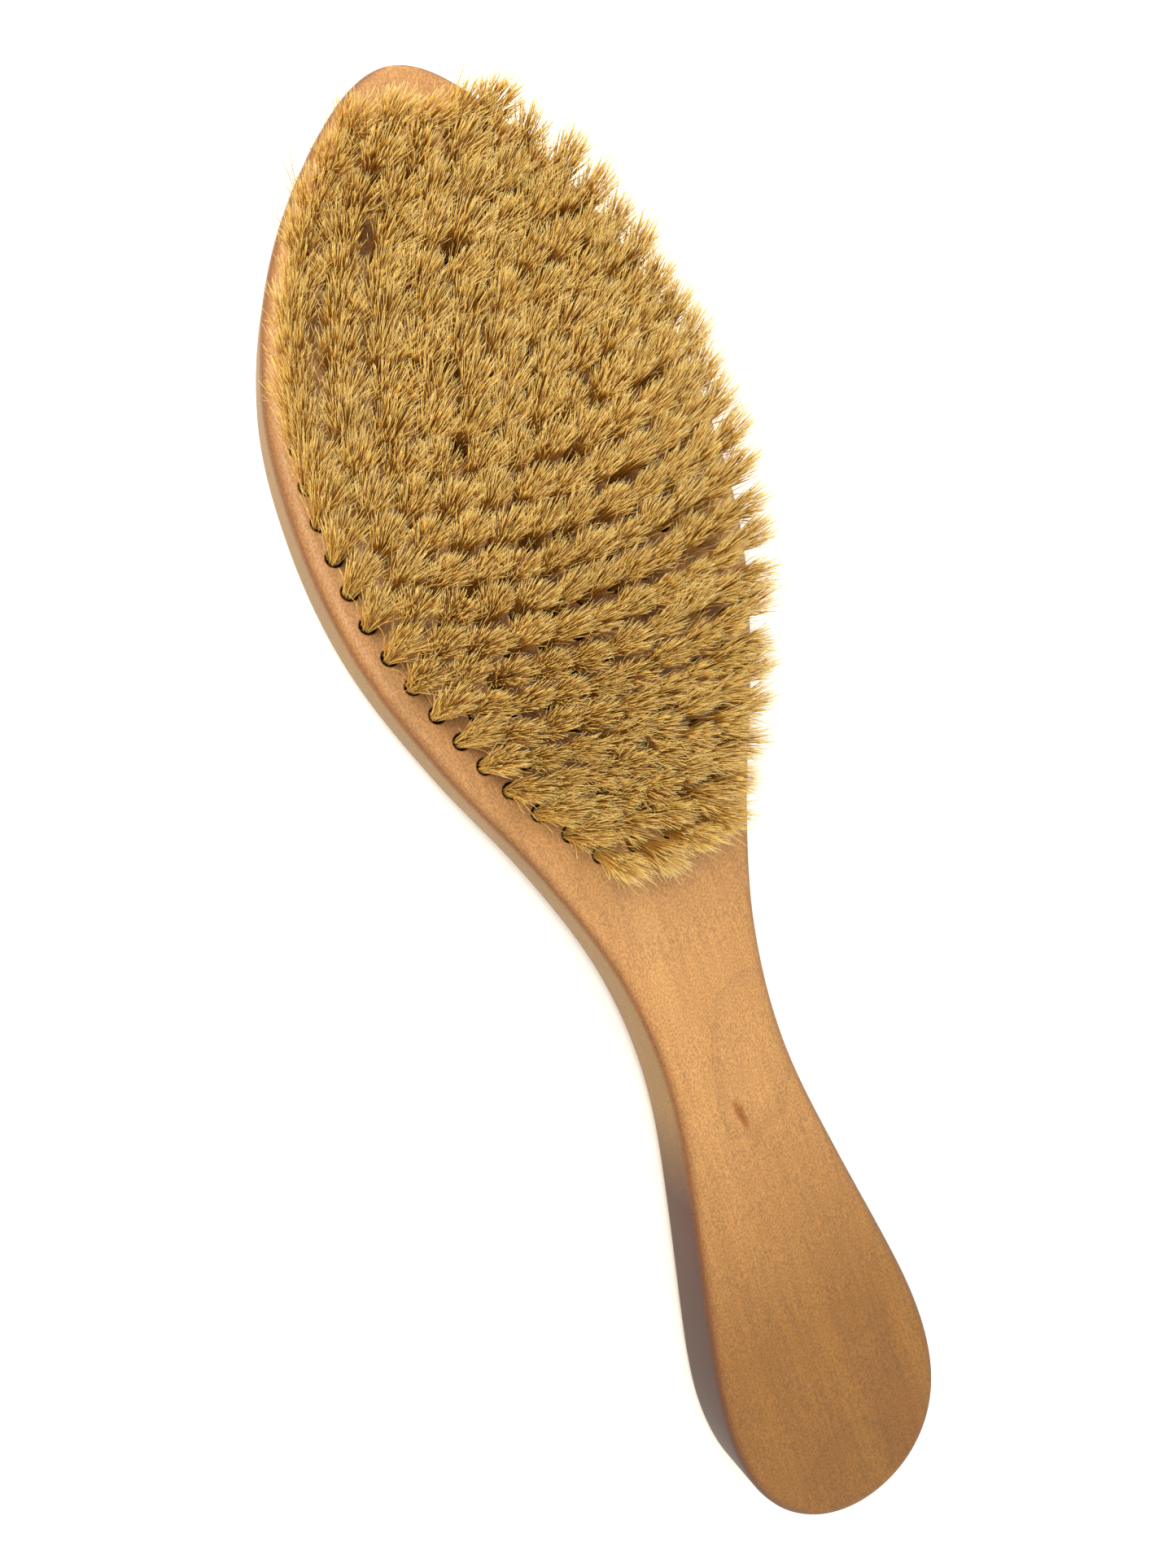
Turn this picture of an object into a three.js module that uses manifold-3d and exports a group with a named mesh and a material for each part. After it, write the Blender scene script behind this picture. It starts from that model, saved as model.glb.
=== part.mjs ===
// A long-handled wooden brush with tufts of natural bristle set in drilled blind holes.
// It lies on its back: +Y runs from the handle to the tip of the head, +Z is the side that
// the bristles stand on, and the origin is under the middle of its outer box.
import * as THREE from 'three';
import { mergeVertices } from 'three/addons/utils/BufferGeometryUtils.js';
import Module from 'manifold-3d';

const wasm = await Module();
wasm.setup();

// Driving dimensions, in millimetres. Every "place" below is a distance from the tip.
const LENGTH = 235;

// Half width = fullness x sqrt(u (1 - u)), where u runs evenly from 0 at the tip to 1 at the
// end of the handle. An even fullness is an ellipse; the low middle values make the neck.
const FULLNESS = [70, 86.5, 88.5, 81.5, 71, 55, 37, 25, 23, 31.5, 47, 70.5, 100.5];

// [place, height]: the bristle side dips under the head and swells along the neck.
const FACE_HEIGHT = [
  [0, 16.4], [24, 12.9], [50, 11.6], [94, 13.5], [118, 14.8],
  [144, 15.4], [188, 14.5], [213, 14.1], [235, 14.4],
];
// [place, height]: where this falls below zero the back is planed flat, and the brush rests there.
const BACK_HEIGHT = [
  [0, 4.4], [24, 0.9], [50, -0.3], [94, 1.9], [124, 3.3],
  [144, 3.1], [188, 1.2], [213, -0.1], [235, -0.5],
];
const FACE_ROUND = 2;
const BACK_ROUND = 2.5;
const ROUND_SHARE = 0.8;        // near the ends a round shrinks to this share of the half width
const ROUND_STEPS = 3;
const STATIONS = 36;
const END_TRIM = 0.4;           // the first and last sections stand this share of a station in

// Tufts stand across the head in rows that bow towards the tip at both ends.
const ROWS = 23;
const TUFT_PITCH = 5.7;
const BOW_RADIUS = 85;
// [row, place of its middle]: the rows draw closer together towards the handle
const ROW_PLACE = [[0, 10], [13, 79.3], [22, 117.5]];
// [place of a row's middle, half the row's length]
const ROW_REACH = [
  [10, 10.5], [20, 18.6], [31, 24.3], [42, 28.2], [58, 31.3],
  [74, 31], [84, 28.8], [97, 23.2], [106, 18.2], [117.5, 9],
];

const HOLE_RADIUS = 1.7;
const HOLE_DEPTH = 6;
const HOLE_SIDES = 6;
const ROOT_RADIUS = 1.35;
const ROOT_CLEARANCE = 0.35;
const NECK_HEIGHT = 1;          // the bundle starts to open this far above the wood
const TUFT_HEIGHT = 12;
const TUFT_SIDES = 4;
const TUFT_RADIUS = 4.4;
const TUFT_FLATNESS = 0.53;     // depth of a bundle against its width, so that rows stay apart

const WELD = 1e-4;              // corners closer together than this are one corner
const SLIVER = 0.03;            // narrower slivers, left where cuts cross, are merged away

// A smooth curve through [place, value] points, with a shared slope at each point
function through(points) {
  const last = points.length - 1;
  const slopes = points.map((point, i) => {
    const before = points[Math.max(i - 1, 0)];
    const after = points[Math.min(i + 1, last)];
    return (after[1] - before[1]) / (after[0] - before[0]);
  });
  return (place) => {
    let i = 0;
    while (i < last - 1 && place > points[i + 1][0]) {
      i += 1;
    }
    const span = points[i + 1][0] - points[i][0];
    const t = (place - points[i][0]) / span;
    const rise = t * t * (3 - 2 * t);
    const leaving = t * (1 - t) * (1 - t) * span * slopes[i];
    const arriving = t * t * (t - 1) * span * slopes[i + 1];
    return points[i][1] * (1 - rise) + points[i + 1][1] * rise + leaving + arriving;
  };
}

const fullness = through(FULLNESS.map((value, i) => [i / (FULLNESS.length - 1), value]));
const faceHeight = through(FACE_HEIGHT);
const backCurve = through(BACK_HEIGHT);
const rowReach = through(ROW_REACH);
const rowPlace = through(ROW_PLACE);

const alongY = (place) => LENGTH / 2 - place;
const backHeight = (place) => Math.max(backCurve(place), 0);

function halfWidth(place) {
  const u = place / LENGTH;
  return fullness(u) * Math.sqrt(u * (1 - u));
}

// The lean of the bristle side at a place: the angle, about X, that turns +Z to its normal
function faceLean(place) {
  const step = 0.5;
  return Math.atan2(faceHeight(place - step) - faceHeight(place + step), 2 * step);
}

function toSolid(geometry) {
  const bare = geometry.clone();
  bare.deleteAttribute('normal');
  bare.deleteAttribute('uv');
  const merged = mergeVertices(bare, WELD);
  return new wasm.Manifold(new wasm.Mesh({
    numProp: 3,
    vertProperties: new Float32Array(merged.attributes.position.array),
    triVerts: new Uint32Array(merged.index.array),
  }));
}

function toMesh(solid, name, material) {
  const clean = solid.asOriginal().simplify(SLIVER);
  const { vertProperties, triVerts } = clean.getMesh();
  const geometry = new THREE.BufferGeometry();
  geometry.setAttribute('position', new THREE.BufferAttribute(vertProperties, 3));
  geometry.setIndex(new THREE.BufferAttribute(triVerts, 1));
  geometry.computeVertexNormals();
  const mesh = new THREE.Mesh(geometry, material);
  mesh.name = name;
  return mesh;
}

// One cross-section of the wood, clockwise from the right end of its flat top: a rectangle
// with small rounds beside the bristles and larger ones at the back
function woodSection(place) {
  const half = halfWidth(place);
  const top = faceHeight(place);
  const bottom = backHeight(place);
  const faceRound = Math.min(FACE_ROUND, ROUND_SHARE * half);
  const backRound = Math.min(BACK_ROUND, ROUND_SHARE * half);
  const right = [];
  for (let i = 0; i <= ROUND_STEPS; i += 1) {
    const angle = (i / ROUND_STEPS) * Math.PI / 2;
    const x = half - faceRound * (1 - Math.sin(angle));
    right.push([x, top - faceRound * (1 - Math.cos(angle))]);
  }
  for (let i = 0; i <= ROUND_STEPS; i += 1) {
    const angle = (i / ROUND_STEPS) * Math.PI / 2;
    const x = half - backRound * (1 - Math.cos(angle));
    right.push([x, bottom + backRound * (1 - Math.sin(angle))]);
  }
  const left = right.map(([x, z]) => [-x, z]).reverse();
  return right.concat(left);
}

// The wood: a tube of cross-sections along Y, closer together near its round ends
function woodBlank() {
  const sides = 4 * (ROUND_STEPS + 1);
  const geometry = new THREE.CylinderGeometry(1, 1, 1, sides, STATIONS);
  const position = geometry.attributes.position;
  const endTrim = END_TRIM * Math.PI / STATIONS;
  for (let i = 0; i < position.count; i += 1) {
    const station = Math.round((0.5 - position.getY(i)) * STATIONS);
    const turn = Math.min(Math.max(Math.PI * station / STATIONS, endTrim), Math.PI - endTrim);
    const place = LENGTH * (1 - Math.cos(turn)) / 2;
    const section = woodSection(place);
    const onAxis = Math.hypot(position.getX(i), position.getZ(i)) < 0.5;
    const angle = Math.atan2(position.getX(i), position.getZ(i));
    const corner = (Math.round(angle / (2 * Math.PI) * sides) + sides) % sides;
    const middle = [0, (faceHeight(place) + backHeight(place)) / 2];
    const [x, z] = onAxis ? middle : section[corner];
    position.setXYZ(i, x, alongY(place), z);
  }
  return toSolid(geometry);
}

// Where the tufts of one row stand: x, place, and the turn that sets each broad side on to
// its neighbours along the bow
function rowSpots(row) {
  const middle = rowPlace(row);
  const reach = rowReach(middle);
  const gaps = Math.round(2 * reach / TUFT_PITCH);
  const spots = [];
  for (let i = 0; i <= gaps; i += 1) {
    const x = reach * (2 * i / gaps - 1);
    const place = middle - x ** 2 / (2 * BOW_RADIUS);
    spots.push({ x, place, turn: Math.atan(x / BOW_RADIUS) });
  }
  return spots;
}

// Turns a shape made around +Z, with z = 0 at the wood, to stand on the bristle side
function standOnFace(geometry, spot) {
  const placed = geometry.clone();
  placed.rotateZ(spot.turn);
  placed.rotateX(faceLean(spot.place));
  placed.translate(spot.x, alongY(spot.place), faceHeight(spot.place));
  return toSolid(placed);
}

function holeShape() {
  const overshoot = 1;
  const geometry = new THREE.CylinderGeometry(
    HOLE_RADIUS, HOLE_RADIUS, HOLE_DEPTH + overshoot, HOLE_SIDES,
  );
  geometry.rotateX(Math.PI / 2);
  geometry.translate(0, 0, (overshoot - HOLE_DEPTH) / 2);
  return geometry;
}

// A bundle of bristle: a straight root in its hole that opens to a broad trimmed top
function tuftShape() {
  const profile = [
    new THREE.Vector2(0, ROOT_CLEARANCE - HOLE_DEPTH),
    new THREE.Vector2(ROOT_RADIUS, ROOT_CLEARANCE - HOLE_DEPTH),
    new THREE.Vector2(ROOT_RADIUS, NECK_HEIGHT),
    new THREE.Vector2(TUFT_RADIUS, TUFT_HEIGHT),
    new THREE.Vector2(0, TUFT_HEIGHT),
  ];
  const geometry = new THREE.LatheGeometry(profile, TUFT_SIDES, Math.PI / TUFT_SIDES);
  geometry.rotateX(Math.PI / 2);
  const position = geometry.attributes.position;
  for (let i = 0; i < position.count; i += 1) {
    if (position.getZ(i) > NECK_HEIGHT + ROOT_CLEARANCE) {
      position.setY(i, position.getY(i) * TUFT_FLATNESS);
    }
  }
  return geometry;
}

function makeBody(material) {
  const hole = holeShape();
  let holes = null;
  for (let row = 0; row < ROWS; row += 1) {
    for (const spot of rowSpots(row)) {
      const cutter = standOnFace(hole, spot);
      holes = holes ? holes.add(cutter) : cutter;
    }
  }
  return toMesh(woodBlank().subtract(holes), 'wood_body', material);
}

// The tufts of one row, which touch their neighbours at the top
function makeRow(row, material) {
  const tuft = tuftShape();
  const tufts = rowSpots(row).map((spot) => standOnFace(tuft, spot));
  const joined = tufts.reduce((whole, next) => whole.add(next));
  return toMesh(joined, `tuft_row_${String(row + 1).padStart(2, '0')}`, material);
}

const lacqueredWood = new THREE.MeshStandardMaterial({ color: '#d3a06a', roughness: 0.35 });
const bristle = new THREE.MeshStandardMaterial({ color: '#b2944f', roughness: 0.7 });

const brush = new THREE.Group();
brush.add(makeBody(lacqueredWood));
for (let row = 0; row < ROWS; row += 1) {
  brush.add(makeRow(row, bristle));
}

export default brush;
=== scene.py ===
import math
import random

import bmesh
import bpy
from mathutils import Matrix, Quaternion, Vector


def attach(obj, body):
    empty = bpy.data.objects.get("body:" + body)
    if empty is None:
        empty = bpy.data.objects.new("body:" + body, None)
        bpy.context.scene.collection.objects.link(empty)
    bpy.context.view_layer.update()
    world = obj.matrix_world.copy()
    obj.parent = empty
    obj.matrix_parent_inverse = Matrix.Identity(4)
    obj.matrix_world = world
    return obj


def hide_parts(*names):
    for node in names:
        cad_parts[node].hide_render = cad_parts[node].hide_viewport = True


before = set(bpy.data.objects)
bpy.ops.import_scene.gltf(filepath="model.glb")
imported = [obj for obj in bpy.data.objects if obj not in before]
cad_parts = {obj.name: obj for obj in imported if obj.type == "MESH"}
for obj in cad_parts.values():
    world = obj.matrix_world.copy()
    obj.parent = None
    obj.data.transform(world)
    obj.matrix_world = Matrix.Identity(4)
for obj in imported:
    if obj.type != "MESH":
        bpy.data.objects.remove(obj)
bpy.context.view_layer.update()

MM = 0.001
NEARLY = 1e-4
SEED = 7

# The brush's driving sizes, in millimetres. Every "place" is a distance from the tip of the head.
# FULLNESS shapes the outline, in even steps from the tip to the end of the handle.
LENGTH = 235
FULLNESS = [70, 86.5, 88.5, 81.5, 71, 55, 37, 25, 23, 31.5, 47, 70.5, 100.5]
FACE_HEIGHT = [
    (0, 16.4), (24, 12.9), (50, 11.6), (94, 13.5), (118, 14.8),
    (144, 15.4), (188, 14.5), (213, 14.1), (235, 14.4),
]
BACK_HEIGHT = [
    (0, 4.4), (24, 0.9), (50, -0.3), (94, 1.9), (124, 3.3),
    (144, 3.1), (188, 1.2), (213, -0.1), (235, -0.5),
]
FACE_ROUND = 2.0
BACK_ROUND = 2.5
HOLE_RADIUS = 1.35
HOLE_DEPTH = 6.0
# The rows are arcs of this radius, with their ends nearer the tip than their middles.
BOW_RADIUS = 85.0


def through(points):
    """A smooth curve through (place, value) points, with a shared slope at each point."""
    last = len(points) - 1
    slopes = []
    for i in range(last + 1):
        before = points[max(i - 1, 0)]
        after = points[min(i + 1, last)]
        slopes.append((after[1] - before[1]) / (after[0] - before[0]))

    def value_at(place):
        i = 0
        while i < last - 1 and place > points[i + 1][0]:
            i += 1
        span = points[i + 1][0] - points[i][0]
        t = (place - points[i][0]) / span
        rise = t * t * (3 - 2 * t)
        leaving = t * (1 - t) ** 2 * span * slopes[i]
        arriving = t * t * (t - 1) * span * slopes[i + 1]
        return points[i][1] * (1 - rise) + points[i + 1][1] * rise + leaving + arriving

    return value_at


fullness = through([(i / (len(FULLNESS) - 1), value) for i, value in enumerate(FULLNESS)])
face_height = through(FACE_HEIGHT)
back_curve = through(BACK_HEIGHT)


def back_height(place):
    return max(back_curve(place), 0.0)


def half_width(place):
    u = min(max(place / LENGTH, 0.0), 1.0)
    return fullness(u) * math.sqrt(u * (1 - u))


# ---------------------------------------------------------------- small helpers

def linear(hex_colour):
    """An sRGB hex colour as linear RGBA."""
    channels = [int(hex_colour[i:i + 2], 16) / 255 for i in (1, 3, 5)]
    return [c / 12.92 if c <= 0.04045 else ((c + 0.055) / 1.055) ** 2.4 for c in channels] + [1.0]


def add(tree, kind, inputs=None, stops=(), **settings):
    """Adds a shader node with its settings. An input is a value or another node's socket, and a
    ramp's stops are (position, linear colour) pairs."""
    made = tree.nodes.new("ShaderNode" + kind)
    for name, value in settings.items():
        setattr(made, name, value)
    for name, value in (inputs or {}).items():
        if isinstance(value, bpy.types.NodeSocket):
            tree.links.new(value, made.inputs[name])
        else:
            made.inputs[name].default_value = value
    for i, (position, colour) in enumerate(stops):
        elements = made.color_ramp.elements
        if i > 1:
            elements.new(position)
        elements[i].position = position
        elements[i].color = colour
    return made


def grey(value):
    return [value, value, value, 1.0]


def new_material(name):
    material = bpy.data.materials.new(name)
    material.use_nodes = True
    tree = material.node_tree
    shader = tree.nodes["Principled BSDF"]
    return material, tree, shader


def as_object(bm, name, *materials):
    mesh = bpy.data.meshes.new(name)
    bm.to_mesh(mesh)
    bm.free()
    piece = bpy.data.objects.new(name, mesh)
    bpy.context.scene.collection.objects.link(piece)
    for material in materials:
        mesh.materials.append(material)
    return piece


# ---------------------------------------------------------------- materials

def lacquered_beech():
    """Beech: pinkish tan, straight grain with short dark ray flecks, under a thin clear lacquer
    that gives a soft shine and lets the pores show as a faint ripple."""
    material, tree, shader = new_material("lacquered_beech")
    spot = add(tree, "TexCoord").outputs["Object"]

    def grain(width, length, detail, roughness=0.5):
        """Noise stretched along the handle, with cells of this width and length in millimetres."""
        cells = (1 / (width * MM), 1 / (length * MM), 1 / (width * MM))
        stretched = add(tree, "Mapping", {"Vector": spot, "Scale": cells}).outputs["Vector"]
        noise = add(tree, "TexNoise", {
            "Vector": stretched, "Scale": 1.0, "Detail": detail, "Roughness": roughness,
        })
        return noise.outputs["Fac"]

    def ring(centre, size, turn, stops):
        """A mark in the wood around a centre, in millimetres: its tones by distance from there,
        where 0.5 is one size away."""
        placed = add(tree, "Mapping", {
            "Vector": spot,
            "Location": [c * MM for c in centre],
            "Rotation": (0, 0, turn),
            "Scale": [c * MM for c in size],
        }, vector_type="TEXTURE").outputs["Vector"]
        noise = {"Vector": placed, "Scale": 1.3, "Detail": 2.0}
        wavy = add(tree, "TexNoise", noise).outputs["Color"]
        shifted = add(tree, "VectorMath", {0: wavy, 1: placed}, operation="ADD").outputs[0]
        middle = (0.5, 0.5, 0.5)
        centred = add(tree, "VectorMath", {0: shifted, 1: middle}, operation="SUBTRACT").outputs[0]
        away = add(tree, "VectorMath", {0: centred}, operation="LENGTH").outputs["Value"]
        halved = add(tree, "MapRange", {"Value": away, "From Max": 2.0}).outputs["Result"]
        return add(tree, "ValToRGB", {"Fac": halved}, stops).outputs["Color"]

    # broad bands of early and late wood, and the fine lines that the plane has cut through
    tone = add(tree, "ValToRGB", {"Fac": grain(9, 70, 3)}, [
        (0.30, linear("#a17543")), (0.55, linear("#ab7e4a")), (0.75, linear("#b48a55")),
    ]).outputs["Color"]
    streaks = add(tree, "ValToRGB", {"Fac": grain(0.7, 14, 4, 0.6)}, [
        (0.35, grey(0.88)), (0.62, grey(1.02)),
    ]).outputs["Color"]
    # ray flecks and lacquered pores, drawn at about twice their real 0.1 mm so that they show
    flecks = add(tree, "ValToRGB", {"Fac": grain(0.2, 0.4, 1)}, [
        (0.39, grey(0.72)), (0.5, grey(1.0)), (0.62, grey(1.26)),
    ]).outputs["Color"]

    # the handle's end is painted darker, a painted shade that stands for the light falling off
    # along the handle
    along = add(tree, "SeparateXYZ", {"Vector": spot}).outputs["Y"]
    toward_end = add(tree, "MapRange", {
        "Value": along, "From Min": -45 * MM, "From Max": -110 * MM,
    }).outputs["Result"]
    end_painted_shade = add(tree, "ValToRGB", {"Fac": toward_end}, [
        (0.0, grey(1.0)), (0.6, linear("#c6b68a")), (1.0, linear("#b9a772")),
    ]).outputs["Color"]
    # the rounded rims are darker brown; the side wall is painted pale olive-grey at the head, a
    # painted reflection of the bright surroundings, and dark brown past the neck, a painted shade
    past_neck = add(tree, "MapRange", {
        "Value": along, "From Min": -42 * MM, "From Max": -58 * MM,
    }).outputs["Result"]
    rim = add(tree, "Attribute", attribute_name="rim").outputs["Fac"]
    head_edge_and_painted_reflection = add(tree, "ValToRGB", {"Fac": rim}, [
        (0.0, grey(1.0)), (0.45, linear("#b3946c")), (1.0, linear("#cccea8")),
    ]).outputs["Color"]
    end_edge_and_painted_shade = add(tree, "ValToRGB", {"Fac": rim}, [
        (0.0, grey(1.0)), (0.45, linear("#b08c5c")), (1.0, linear("#74480f")),
    ]).outputs["Color"]
    rim_tone_and_painted_light = add(tree, "Mix", {
        0: past_neck, 6: head_edge_and_painted_reflection, 7: end_edge_and_painted_shade,
    }, data_type="RGBA").outputs[2]

    knot = ring((-0.9, -46.5, 15), (0.8, 2.6, 8), 0.2, [
        (0.0, linear("#c19f78")), (0.3, linear("#d6b894")), (0.65, grey(1.0)),
    ])
    fine_line = [
        (0.0, grey(1.0)), (0.36, grey(0.97)), (0.46, grey(0.92)),
        (0.5, grey(0.86)), (0.55, grey(1.0)),
    ]
    neck_figure = ring((4.5, -38, 15), (7.5, 13, 12), -0.35, fine_line)
    end_figure = ring((-1.5, -110, 14), (8, 6.5, 12), 0.2, fine_line)

    colour = tone
    layers = [
        (streaks, 1.0), (knot, 1.0), (neck_figure, 1.0), (end_figure, 1.0),
        (end_painted_shade, 1.0), (flecks, 0.8), (rim_tone_and_painted_light, 1.0),
    ]
    for layer, share in layers:
        colour = add(tree, "Mix", {
            0: share, 6: colour, 7: layer,
        }, data_type="RGBA", blend_type="MULTIPLY").outputs[2]
    tree.links.new(colour, shader.inputs["Base Color"])
    bump = add(tree, "Bump", {"Height": grain(0.25, 0.9, 2), "Strength": 0.1, "Distance": 0.1 * MM})
    tree.links.new(bump.outputs["Normal"], shader.inputs["Normal"])
    shader.inputs["Roughness"].default_value = 0.58
    shader.inputs["Specular IOR Level"].default_value = 0.36
    shader.inputs["Coat Weight"].default_value = 0.2
    shader.inputs["Coat Roughness"].default_value = 0.42
    shader.inputs["Coat IOR"].default_value = 1.5
    return material


def boar_bristle():
    """Blond boar bristle: translucent golden horn that glows where light comes through it, with
    paler split tips. Each hair has its own shade; u holds it, and v runs from root to tip."""
    material, tree, shader = new_material("blond_boar_bristle")
    hair = add(tree, "UVMap", uv_map="Hair").outputs["UV"]
    parts = add(tree, "SeparateXYZ", {"Vector": hair})
    hair_tone = add(tree, "ValToRGB", {"Fac": parts.outputs["X"]}, [
        (0.0, linear("#e2d8c0")), (0.3, linear("#ece2cc")),
        (0.6, linear("#f2e7d2")), (1.0, linear("#fffaf0")),
    ]).outputs["Color"]
    length_tone = add(tree, "ValToRGB", {"Fac": parts.outputs["Y"]}, [
        (0.0, linear("#e8b765")), (0.4, linear("#e5af58")),
        (0.75, linear("#dda74f")), (1.0, linear("#e3c27e")),
    ]).outputs["Color"]
    colour = add(tree, "Mix", {
        0: 1.0, 6: length_tone, 7: hair_tone,
    }, data_type="RGBA", blend_type="MULTIPLY").outputs[2]
    tree.links.new(colour, shader.inputs["Base Color"])
    shader.inputs["Roughness"].default_value = 0.6
    shader.inputs["Specular IOR Level"].default_value = 0.35
    shader.inputs["Subsurface Weight"].default_value = 0.7
    shader.inputs["Subsurface Scale"].default_value = 0.5 * MM
    shader.inputs["Subsurface Radius"].default_value = (1.0, 0.75, 0.35)
    return material


def zinc_strip():
    """Zinc-plated steel strip, cropped into anchors: dull blue-grey metal."""
    material, tree, shader = new_material("zinc_plated_strip")
    spot = add(tree, "TexCoord").outputs["Object"]
    spangle = add(tree, "TexNoise", {"Vector": spot, "Scale": 1 / (0.4 * MM), "Detail": 2.0})
    tone = add(tree, "ValToRGB", {"Fac": spangle.outputs["Fac"]}, [
        (0.3, linear("#8d9296")), (0.7, linear("#b4b8bb")),
    ]).outputs["Color"]
    tree.links.new(tone, shader.inputs["Base Color"])
    shader.inputs["Metallic"].default_value = 1.0
    shader.inputs["Roughness"].default_value = 0.38
    return material


def matt_paper():
    """A pale matt surface to lie on."""
    material, tree, shader = new_material("pale_matt_board")
    shader.inputs["Base Color"].default_value = linear("#f4f3f1")
    shader.inputs["Roughness"].default_value = 0.9
    return material


# ---------------------------------------------------------------- where the tufts stand

def tuft_axes(node):
    """The foot of each tuft and the way it points, from the square roots of a row's CAD solid:
    a root's corners lie together, with a gap to the next root's."""
    points = [v.co.copy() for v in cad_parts[node].data.vertices]
    lowest = min(p.z for p in points)
    root_gap = 2 * MM

    def centres(low, high):
        """The middle of each root's corners between two heights above the lowest one."""
        level = sorted((p for p in points if low <= p.z - lowest < high), key=lambda p: p.x)
        groups = [[level[0]]]
        for point in level[1:]:
            if point.x - groups[-1][-1].x > root_gap:
                groups.append([])
            groups[-1].append(point)
        return [sum(g, Vector()) / len(g) for g in groups]

    feet = centres(0.0, 2 * MM)
    necks = centres(5 * MM, 9 * MM)
    return [(foot, (neck - foot).normalized()) for foot, neck in zip(feet, necks)]


rows = {name: tuft_axes(name) for name in sorted(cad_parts) if name.startswith("tuft_row")}
ROOT_DEPTH = HOLE_DEPTH - 0.35  # a tuft's foot stands this far down, just off the hole's floor


def on_wood(foot, way):
    """Where a tuft's axis leaves the wood."""
    return foot + way * ROOT_DEPTH * MM


# ---------------------------------------------------------------- the wood

BLANK_THICKNESS = 12.0
BENT_ABOVE = 4.0  # what lies higher in the blank follows the bristle side, the rest the back
OUTLINE_POINTS = 280
ROUND_STEPS = 5
FLAT_INSET = 0.5
RIM_MARGIN = 0.1
STRIP = 3.0  # the flats are cut across this often, so that they can bend
HOLE_SIDES = 16
HOLE_RIM = 0.15
DRILL_CLEARANCE = 1.0
MERGE = 0.005
SHARP_ANGLE = math.radians(40)


def flat_outline():
    """The brush seen from above, as one flat face cut to the outline."""
    bm = bmesh.new()
    bmesh.ops.create_circle(bm, cap_ends=True, segments=OUTLINE_POINTS, radius=1.0)
    for vert in bm.verts:
        across, along = vert.co.x, vert.co.y
        place = LENGTH * (1 - along) / 2
        vert.co.x = math.copysign(half_width(place), across) if abs(across) > NEARLY else 0.0
        vert.co.y = LENGTH / 2 - place
    return bm


def extrude_up(bm, faces, height, widen=1.0, keep_base=False):
    """Extrudes faces upwards, and returns the new top ones. The faces themselves would be left
    inside the solid, so they stay only where they are its base."""
    made = bmesh.ops.extrude_face_region(bm, geom=faces)["geom"]
    if not keep_base:
        bmesh.ops.delete(bm, geom=[f for f in faces if f.is_valid], context="FACES_ONLY")
    verts = [g for g in made if isinstance(g, bmesh.types.BMVert)]
    centre = sum((v.co for v in verts), Vector()) / len(verts)
    bmesh.ops.translate(bm, verts=verts, vec=(0, 0, height))
    bmesh.ops.scale(bm, verts=verts, vec=(widen, widen, 1), space=Matrix.Translation(-centre))
    return [g for g in made if isinstance(g, bmesh.types.BMFace)]


def flat_blank():
    """The sawn blank before it is shaped: a thick flat plate with both rims rounded."""
    bm = flat_outline()
    extrude_up(bm, bm.faces[:], BLANK_THICKNESS, keep_base=True)
    bmesh.ops.recalc_face_normals(bm, faces=bm.faces[:])
    for rim_height, radius in ((BLANK_THICKNESS, FACE_ROUND), (0.0, BACK_ROUND)):
        rim = [e for e in bm.edges if all(abs(v.co.z - rim_height) < NEARLY for v in e.verts)]
        bmesh.ops.bevel(
            bm, geom=rim, offset=radius, segments=ROUND_STEPS, profile=0.5, affect="EDGES",
            material=-1,
        )
    caps = [f for f in bm.faces if len(f.verts) > OUTLINE_POINTS / 2]
    bmesh.ops.inset_individual(bm, faces=caps, thickness=FLAT_INSET)
    return bm


def hole_cutters():
    """All the drill strokes as one mesh, each a plug with a slightly opened rim."""
    bm = bmesh.new()
    for tufts in rows.values():
        for foot, way in tufts:
            spot = on_wood(foot, way) / MM
            start = Matrix.Translation((spot.x, spot.y, BLANK_THICKNESS - HOLE_DEPTH))
            disc = bmesh.ops.create_circle(
                bm, cap_ends=True, segments=HOLE_SIDES, radius=HOLE_RADIUS, matrix=start,
            )["verts"]
            top = extrude_up(bm, list(disc[0].link_faces), HOLE_DEPTH - HOLE_RIM, keep_base=True)
            top = extrude_up(bm, top, HOLE_RIM, 1 + HOLE_RIM / HOLE_RADIUS)
            extrude_up(bm, top, DRILL_CLEARANCE)
    bmesh.ops.recalc_face_normals(bm, faces=bm.faces[:])
    return bm


def drilled(blank, cutters):
    """The blank with its holes, as a new bmesh."""
    wood = as_object(blank, "blank")
    drill = as_object(cutters, "drill")
    cut = wood.modifiers.new("holes", "BOOLEAN")
    cut.object = drill
    cut.operation = "DIFFERENCE"
    cut.solver = "EXACT"
    shaped = wood.evaluated_get(bpy.context.evaluated_depsgraph_get())
    bm = bmesh.new()
    bm.from_mesh(shaped.to_mesh())
    shaped.to_mesh_clear()
    for used in (wood, drill):
        mesh = used.data
        bpy.data.objects.remove(used)
        bpy.data.meshes.remove(mesh)
    return bm


def face_lean(place):
    """The angle, about X, that turns straight up to the bristle side's normal."""
    return math.atan2(face_height(place - 0.5) - face_height(place + 0.5), 1.0)


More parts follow.
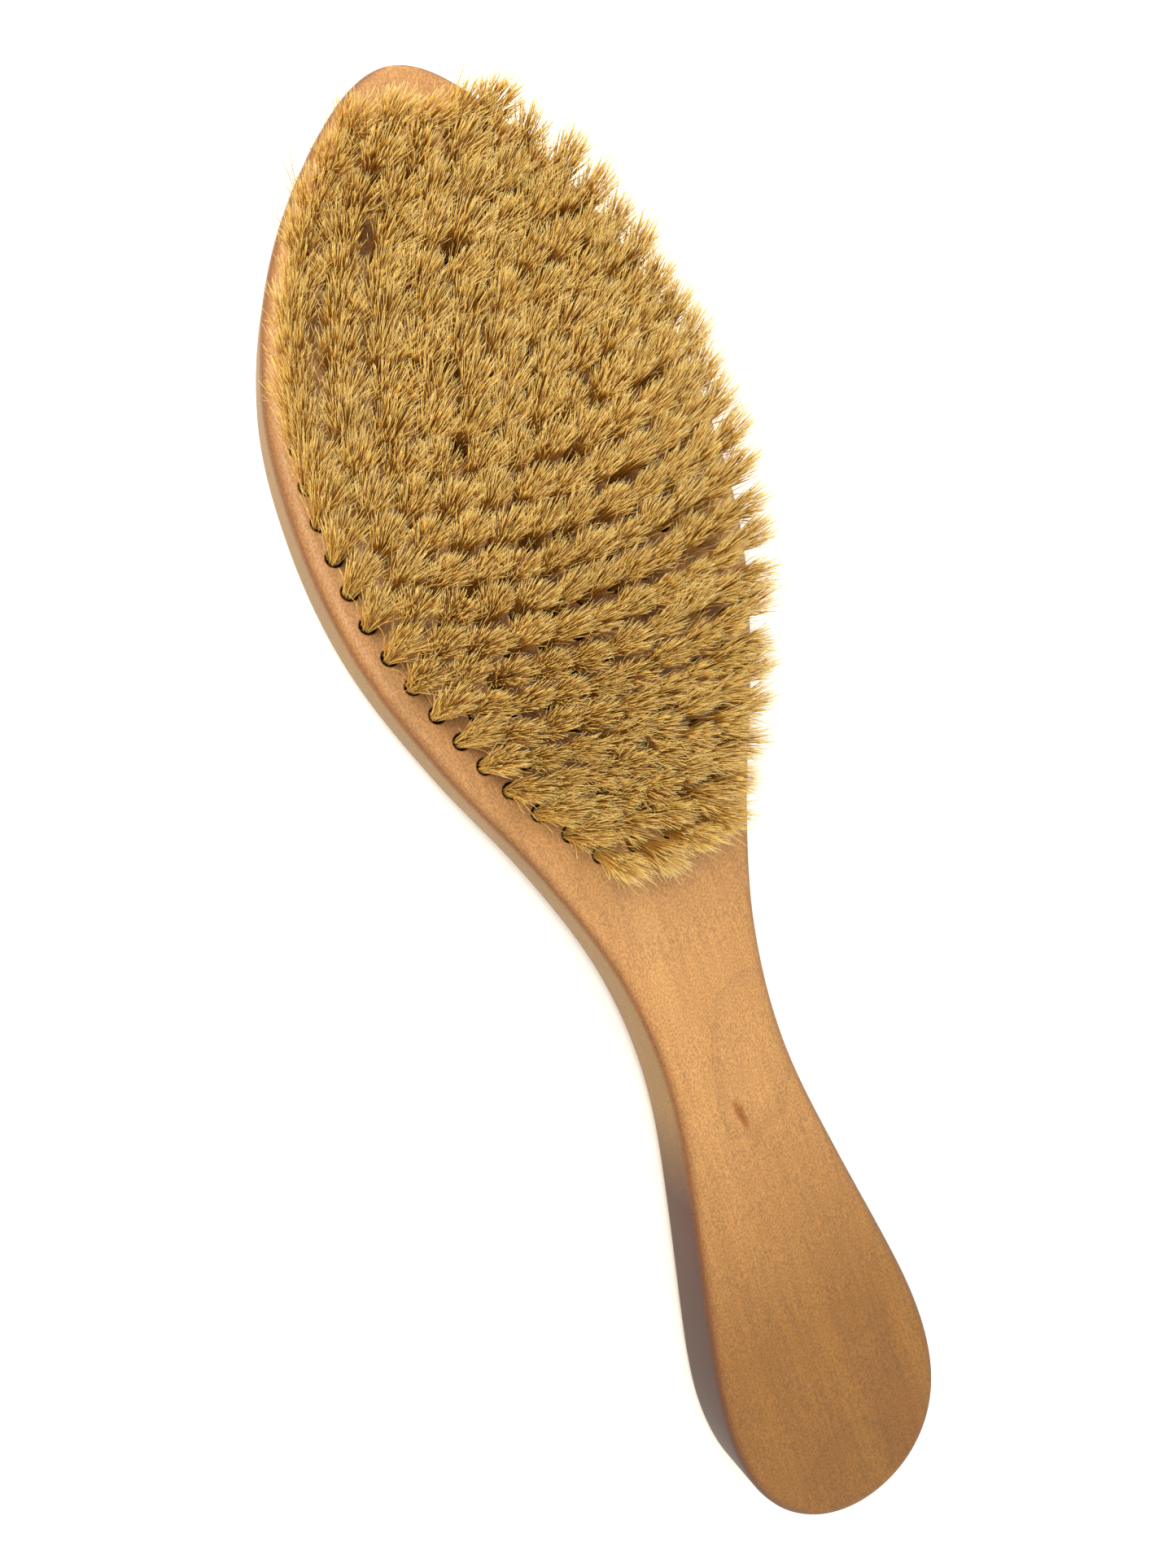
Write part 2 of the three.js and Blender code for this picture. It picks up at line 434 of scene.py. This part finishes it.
def shape_profile(bm):
    """Bends the flat blank to the side profile: the top follows the bristle side, squarely,
    and the bottom follows the back. The rim attribute grows from 0 on the flats, over the
    rounded rims, to 1 on the side wall."""
    rim = bm.verts.layers.float.new("rim")
    for vert in bm.verts:
        place = LENGTH / 2 - vert.co.y
        height = vert.co.z
        if abs(vert.co.x) > half_width(place) - FACE_ROUND - RIM_MARGIN:
            vert[rim] = min((BLANK_THICKNESS - height) / FACE_ROUND, height / BACK_ROUND, 1.0)
        if height > BENT_ABOVE:
            lean = face_lean(place)
            depth = BLANK_THICKNESS - height
            vert.co.y += depth * math.sin(lean)
            vert.co.z = face_height(place) - depth * math.cos(lean)
        else:
            vert.co.z = back_height(place) + height


def make_wood(material):
    """The wooden brush: drilled while it is flat, then bent."""
    bm = drilled(flat_blank(), hole_cutters())
    count = int(LENGTH / STRIP)
    for i in range(1, count):
        flats = [f for f in bm.faces if abs(f.normal.z) > 0.99 and len(f.verts) > 4]
        level = dict.fromkeys(g for f in flats for g in (f, *f.edges, *f.verts))
        bmesh.ops.bisect_plane(
            bm, geom=list(level), dist=NEARLY,
            plane_co=(0, LENGTH * (i / count - 0.5), 0), plane_no=(0, 1, 0),
        )
    shape_profile(bm)
    bmesh.ops.triangulate(bm, faces=[f for f in bm.faces if len(f.verts) > 4])
    bmesh.ops.scale(bm, verts=bm.verts[:], vec=(MM, MM, MM))
    bmesh.ops.remove_doubles(bm, verts=bm.verts[:], dist=MERGE * MM)
    bmesh.ops.recalc_face_normals(bm, faces=bm.faces[:])
    for face in bm.faces:
        face.smooth = True
    for edge in bm.edges:
        edge.smooth = edge.is_manifold and edge.calc_face_angle() < SHARP_ANGLE
    return as_object(bm, "wood_body_finished", material)


# ---------------------------------------------------------------- the bristles

TUFT_HEIGHT = 12.0
ROOT_SPREAD = 1.12  # how far a tuft's hairs stand from its axis in the hole
WIDE_REACH = 3.15  # and at their tips, along the row
DEEP_REACH = 2.6  # and across it

# A hair's joints, as heights above the wood, and its thickness there. The fine hairs are the
# split ends, so they have no root.
HAIR_LEVELS = (-5.2, 0.2, 3.2, 6.4, 9.4, 12.0)
HAIR_RADII = (0.085, 0.085, 0.085, 0.08, 0.065, 0.022)
FINE_LEVELS = (8.2, 10.4, 12.2)
FINE_RADII = (0.04, 0.035, 0.012)
HAIRS = 118
FINE_HAIRS = 80
FRIZZ = 0.13
FINE_FRIZZ = 0.3

# STRAYNESS is in shares of a tuft's reach; BOWING and the two kinds of frizz are in millimetres.
LOCKS = 12
LOCK_PULL = 0.2
STRAYNESS = (0.1, 0.1, 0.12, 0.14, 0.18, 0.34)
BOWING = 0.12
OPENING = (1.15, 1.6)
UNEVENNESS = 0.04
SHADE_SPREAD = 0.13

MASTERS = 6
GREY_MASTERS = 3


def straight_hair(levels, radii):
    """One upright three-sided hair, with its joints at the given heights, as a mesh."""
    bm = bmesh.new()
    made = bmesh.ops.create_circle(bm, cap_ends=True, segments=3, radius=radii[0])
    bmesh.ops.translate(bm, verts=made["verts"], vec=(0, 0, levels[0]))
    top = bm.faces[:]
    for i in range(1, len(levels)):
        rise = levels[i] - levels[i - 1]
        top = extrude_up(bm, top, rise, radii[i] / radii[i - 1], keep_base=i == 1)
    bmesh.ops.recalc_face_normals(bm, faces=bm.faces[:])
    for face in bm.faces:
        face.smooth = True
    mesh = bpy.data.meshes.new("hair")
    bm.to_mesh(mesh)
    bm.free()
    return mesh


def in_disc(rng):
    """A random spot in a disc of radius 1, a little likelier towards its edge."""
    reach = rng.random() ** 0.43
    angle = rng.uniform(0, 2 * math.pi)
    return Vector((reach * math.cos(angle), reach * math.sin(angle)))


def hair_course(rng, spread, locks, worn, frizz):
    """A hair's way outwards: where it is at each height. Its tip draws towards the nearest of
    the tuft's locks, and then curls away by about frizz millimetres."""
    start = in_disc(rng)
    root = start * ROOT_SPREAD
    stray = rng.choice(STRAYNESS) * worn
    tip = start * spread + Vector((rng.gauss(0, stray), rng.gauss(0, stray)))
    lock = min(locks, key=lambda spot: (spot - tip).length)
    tip = tip.lerp(lock, rng.uniform(0.0, LOCK_PULL))
    tip = Vector((tip.x * WIDE_REACH, tip.y * DEEP_REACH))
    bow = Vector((rng.gauss(0, BOWING), rng.gauss(0, BOWING)))
    curl = Vector((rng.gauss(0, frizz), rng.gauss(0, frizz)))
    power = rng.uniform(*OPENING)
    dome = 0.02 * (tip.length / 3) ** 2
    length = rng.gauss(1.0, UNEVENNESS) - dome

    def at(height):
        share = max(height, 0.0) / TUFT_HEIGHT
        across = root.lerp(tip, share ** power) + bow * math.sin(math.pi * share)
        across += curl * share ** 5
        return Vector((across.x, across.y, height * length if height > 0 else height))

    return at


def tuft_mesh(seed, spread, tone, worn=1.0):
    """A bundle of hairs that share one hole and open towards their tips, worn ones untidily.
    Each hair starts as a copy of a straight one, and its points then move to its course."""
    rng = random.Random(seed)
    bm = bmesh.new()
    locks = [in_disc(rng) * spread for _ in range(LOCKS)]
    kinds = [
        (straight_hair(HAIR_LEVELS, HAIR_RADII), HAIRS, FRIZZ),
        (straight_hair(FINE_LEVELS, FINE_RADII), FINE_HAIRS, FINE_FRIZZ),
    ]
    for hair, count, frizz in kinds:
        first_vert = len(bm.verts)
        first_face = len(bm.faces)
        for _ in range(count):
            bm.from_mesh(hair)
        bm.verts.ensure_lookup_table()
        bm.faces.ensure_lookup_table()
        uv = bm.loops.layers.uv.verify()
        for number in range(count):
            at = hair_course(rng, spread, locks, worn, frizz)
            shade = min(max(rng.gauss(tone, SHADE_SPREAD), 0.0), 1.0)
            spin = Quaternion((0, 0, 1), rng.uniform(0, 2 * math.pi))
            face_from = first_face + number * len(hair.polygons)
            for face in bm.faces[face_from:face_from + len(hair.polygons)]:
                for loop in face.loops:
                    along = min(max(loop.vert.co.z / TUFT_HEIGHT, 0.0), 1.0)
                    loop[uv].uv = (shade, along)
            vert_from = first_vert + number * len(hair.vertices)
            for vert in bm.verts[vert_from:vert_from + len(hair.vertices)]:
                ring = spin @ Vector((vert.co.x, vert.co.y, 0))
                vert.co = at(vert.co.z) + ring
        bpy.data.meshes.remove(hair)
    mesh = bpy.data.meshes.new("tuft")
    bm.to_mesh(mesh)
    bm.free()
    mesh.uv_layers[0].name = "Hair"
    return mesh


def splay(mesh, push, tall):
    """Bends a tuft over above the wood, further towards its tips, by push millimetres, and
    stretches what stands above the wood by tall."""
    sinking = push.length_squared / (2 * TUFT_HEIGHT)
    for vert in mesh.vertices:
        if vert.co.z > 0:
            share = vert.co.z / TUFT_HEIGHT
            vert.co.x += push.x * share ** 1.4
            vert.co.y += push.y * share ** 1.4
            vert.co.z = vert.co.z * tall - sinking * share ** 2


# What wear has done to the tufts, by place: how far their tips lean towards the tip of the head,
# how far those at the left and right ends of a row lean right, how deep a tuft opens between the
# rows, and how far from the middle the rows reach.
endways_lean = through([
    (4, -0.6), (14, 0.2), (28, 1.4), (56, 1.5), (84, 0.3), (105, -0.8), (120, -2.2),
])
left_lean = through([(4, -1.0), (30, -0.6), (50, 0.1), (66, 0.9), (84, 0.7), (120, 0.2)])
right_lean = through([(4, -1.2), (30, -1.0), (56, -0.2), (84, 0.8), (120, 1.2)])
depth_share = through([(4, 1.12), (50, 1.12), (80, 0.88), (120, 0.9)])
rim_reach = through([(4, 10), (16, 16), (31, 24.5), (58, 31.3), (84, 29), (106, 18), (120, 9)])
TUFT_WANDER = 0.5
WEATHERED_SPREAD = 1.05
WEATHERED_TONE = 0.3
WEATHERED_MESS = 1.7


def tuft_push(place, across, rng):
    """How far a tuft's tips lean, and where to. Across runs from -1 to 1 along a row."""
    lean = left_lean(place) if across < 0 else right_lean(place)
    return Vector((
        lean * across ** 2 + rng.gauss(0, TUFT_WANDER),
        endways_lean(place) + rng.gauss(0, TUFT_WANDER),
    ))


def make_rows(material):
    """One piece for each row of tufts across the head. A tuft is a copy of one of the masters,
    turned with its row and a little wider, deeper or taller than the next. The tufts at the ends
    of a row are mostly weathered ones, squeezed narrower along it."""
    rng = random.Random(SEED)
    masters = [tuft_mesh(SEED + i, 0.92 + 0.03 * i, 0.5 + 0.04 * i) for i in range(MASTERS)]
    grey_masters = [
        tuft_mesh(SEED + MASTERS + i, WEATHERED_SPREAD, WEATHERED_TONE, WEATHERED_MESS)
        for i in range(GREY_MASTERS)
    ]
    made = []
    for node, tufts in rows.items():
        bm = bmesh.new()
        for foot, way in tufts:
            spot = on_wood(foot, way) / MM
            place = LENGTH / 2 - spot.y
            across = max(-1.0, min(spot.x / rim_reach(place), 1.0))
            weathered = rng.random() < 0.1 + 0.8 * across ** 4
            tuft = rng.choice(grey_masters if weathered else masters).copy()
            turn = math.atan(spot.x / BOW_RADIUS) + rng.choice((0.0, math.pi)) + rng.gauss(0, 0.2)
            wide = rng.uniform(0.96, 1.1) * (1.08 - 0.2 * across ** 6)
            deep = rng.uniform(0.92, 1.08) * depth_share(place)
            tall = rng.uniform(0.96, 1.02)
            tuft.transform(Matrix.Rotation(turn, 4, "Z") @ Matrix.Diagonal((wide, deep, 1, 1)))
            splay(tuft, tuft_push(place, across, rng), tall)
            stand = Vector((0, 0, 1)).rotation_difference(way).to_matrix().to_4x4()
            tuft.transform(Matrix.Translation(spot) @ stand)
            bm.from_mesh(tuft)
            bpy.data.meshes.remove(tuft)
        bmesh.ops.scale(bm, verts=bm.verts[:], vec=(MM, MM, MM))
        piece = as_object(bm, node.replace("tuft_row", "bristle_row"), material)
        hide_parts(node)
        made.append(piece)
    for master in masters + grey_masters:
        bpy.data.meshes.remove(master)
    return made


ANCHOR_SIZE = (2.1, 0.35, 2.4)
ANCHOR_LIFT = 0.1
ANCHOR_BEVEL = 0.05


def make_anchors(material):
    """A cropped strip of metal low in each hole, which wedges the folded tuft in the wood."""
    rng = random.Random(SEED + 1)
    bm = bmesh.new()
    for tufts in rows.values():
        for foot, way in tufts:
            stand = Vector((0, 0, 1)).rotation_difference(way).to_matrix().to_4x4()
            spin = Matrix.Rotation(rng.uniform(0, math.pi), 4, "Z")
            up = Matrix.Translation((0, 0, ANCHOR_SIZE[2] / 2 + ANCHOR_LIFT))
            size = Matrix.Diagonal((*ANCHOR_SIZE, 1))
            placed = Matrix.Translation(foot / MM) @ stand @ spin @ up @ size
            bmesh.ops.create_cube(bm, size=1.0, matrix=placed)
    bmesh.ops.bevel(
        bm, geom=bm.edges[:], offset=ANCHOR_BEVEL, segments=1, profile=0.5, affect="EDGES",
        material=-1,
    )
    bmesh.ops.scale(bm, verts=bm.verts[:], vec=(MM, MM, MM))
    return as_object(bm, "tuft_anchors", material)


# ---------------------------------------------------------------- the brush

wood = make_wood(lacquered_beech())
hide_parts("wood_body")
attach(wood, "root")

for bristles in make_rows(boar_bristle()):
    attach(bristles, "root")

anchors = make_anchors(zinc_strip())
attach(anchors, "root")

# ---------------------------------------------------------------- surroundings

FLOOR_REACH = 2.5
FLOOR_GAP = 0.1 * MM  # so that the brush's flat stretch and the floor don't share a surface

floor_mesh = bmesh.new()
bmesh.ops.create_grid(floor_mesh, x_segments=1, y_segments=1, size=FLOOR_REACH)
bmesh.ops.translate(floor_mesh, verts=floor_mesh.verts[:], vec=(0, 0, -FLOOR_GAP))
floor = as_object(floor_mesh, "floor", matt_paper())


def area_light(name, place, aim, size, watts, colour):
    """A square soft light at a place, facing its aim. All lengths in metres."""
    light = bpy.data.lights.new(name, "AREA")
    light.shape = "RECTANGLE"
    light.size = size
    light.size_y = size
    light.energy = watts
    light.color = linear(colour)[:3]
    lamp = bpy.data.objects.new(name, light)
    lamp.location = place
    lamp.rotation_euler = (Vector(aim) - Vector(place)).to_track_quat("-Z", "Y").to_euler()
    bpy.context.scene.collection.objects.link(lamp)


area_light("key", (-0.14, 0.17, 0.46), (0, 0.04, 0), 0.18, 2.1, "#fff8ee")
area_light("far_end", (-0.1, 0.7, 0.5), (0, 0.1, 0), 0.06, 1.6, "#ffe2b4")

world = bpy.data.worlds.new("soft_studio")
world.use_nodes = True
background = world.node_tree.nodes["Background"]
background.inputs["Color"].default_value = linear("#fffcf2")
background.inputs["Strength"].default_value = 1.1
bpy.context.scene.world = world
bpy.context.scene.view_settings.view_transform = "Standard"

camera_data = bpy.data.cameras.new("camera")
camera_data.lens = 24.7
camera_data.sensor_width = 36
camera_data.clip_start = 0.005
camera = bpy.data.objects.new("camera", camera_data)
bpy.context.scene.collection.objects.link(camera)
turn = Matrix((
    (0.8773, 0.3384, -0.3403),
    (-0.3221, 0.9409, 0.1051),
    (0.3558, 0.0174, 0.9344),
))
camera.matrix_world = Matrix.Translation((-0.06242, 0.02834, 0.16645)) @ turn.to_4x4()
bpy.context.scene.camera = camera
